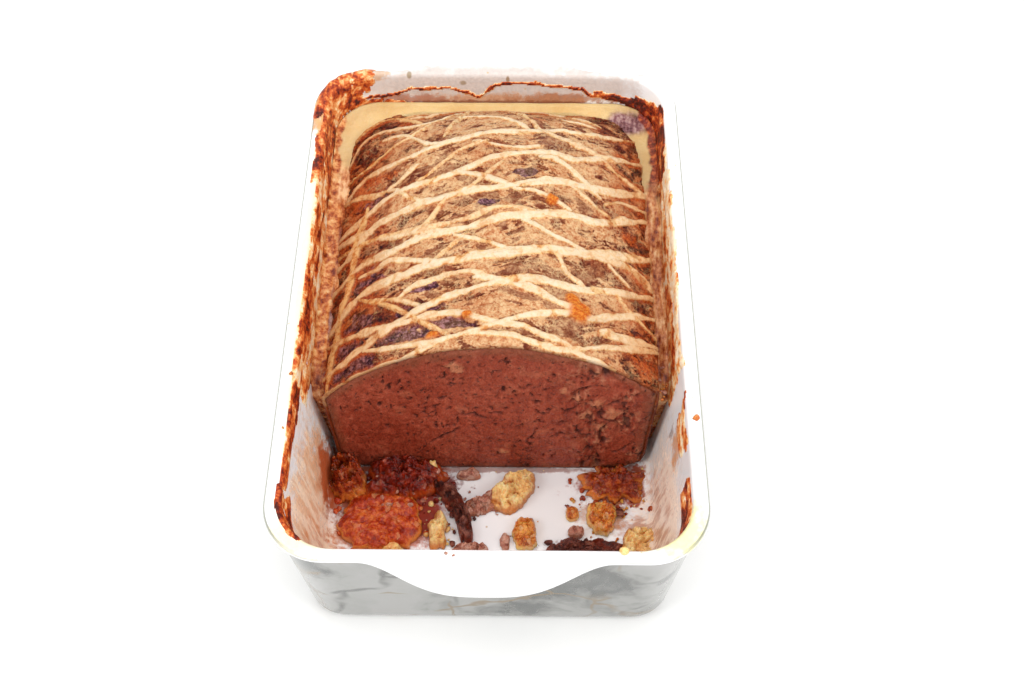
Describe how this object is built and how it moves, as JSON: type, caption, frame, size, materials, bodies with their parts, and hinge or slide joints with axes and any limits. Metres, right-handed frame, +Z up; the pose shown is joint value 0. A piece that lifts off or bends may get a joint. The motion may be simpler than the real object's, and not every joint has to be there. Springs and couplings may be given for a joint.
{
  "type": "baked pate in its baking dish",
  "caption": "Half-eaten domed loaf of baked pate under a lacy net of fat, in its oblong white marbled baking dish with wave-shaped handles, scraps on the floor.",
  "frame": {"origin": "middle of the flat foot of the dish, on the surface it stands on", "axes": "+Z up; +Y along the dish from its emptied front to the back end of the loaf; +X across the dish"},
  "size_m": [0.152, 0.2536, 0.0837],
  "materials": {
    "glaze": "gloss",
    "pate": "satin",
    "set_fat": "satin",
    "jelly": "gloss",
    "dark_jelly": "gloss",
    "fat_scrap": "satin",
    "meat_scrap": "satin",
    "crust": "satin"
  },
  "bodies": {
    "root": {"dish": "glaze", "loaf": "pate", "set_fat": "set_fat", "jelly_slab": "jelly", "jelly_heap": "dark_jelly", "jelly_left": "dark_jelly", "jelly_right": "dark_jelly", "crust_strip": "crust", "fat_strip": "fat_scrap", "fat_sliver": "fat_scrap", "meat_crumb": "meat_scrap", "fat_lump": "fat_scrap", "jelly_scrap": "jelly", "meat_sliver": "meat_scrap", "fat_bead": "fat_scrap", "jelly_lump": "jelly", "meat_scrap": "meat_scrap", "crust_flake": "crust", "corner_lump": "fat_scrap", "corner_scrap": "fat_scrap", "front_scrap": "meat_scrap", "foot_crumb": "meat_scrap"}
  },
  "joints": []
}
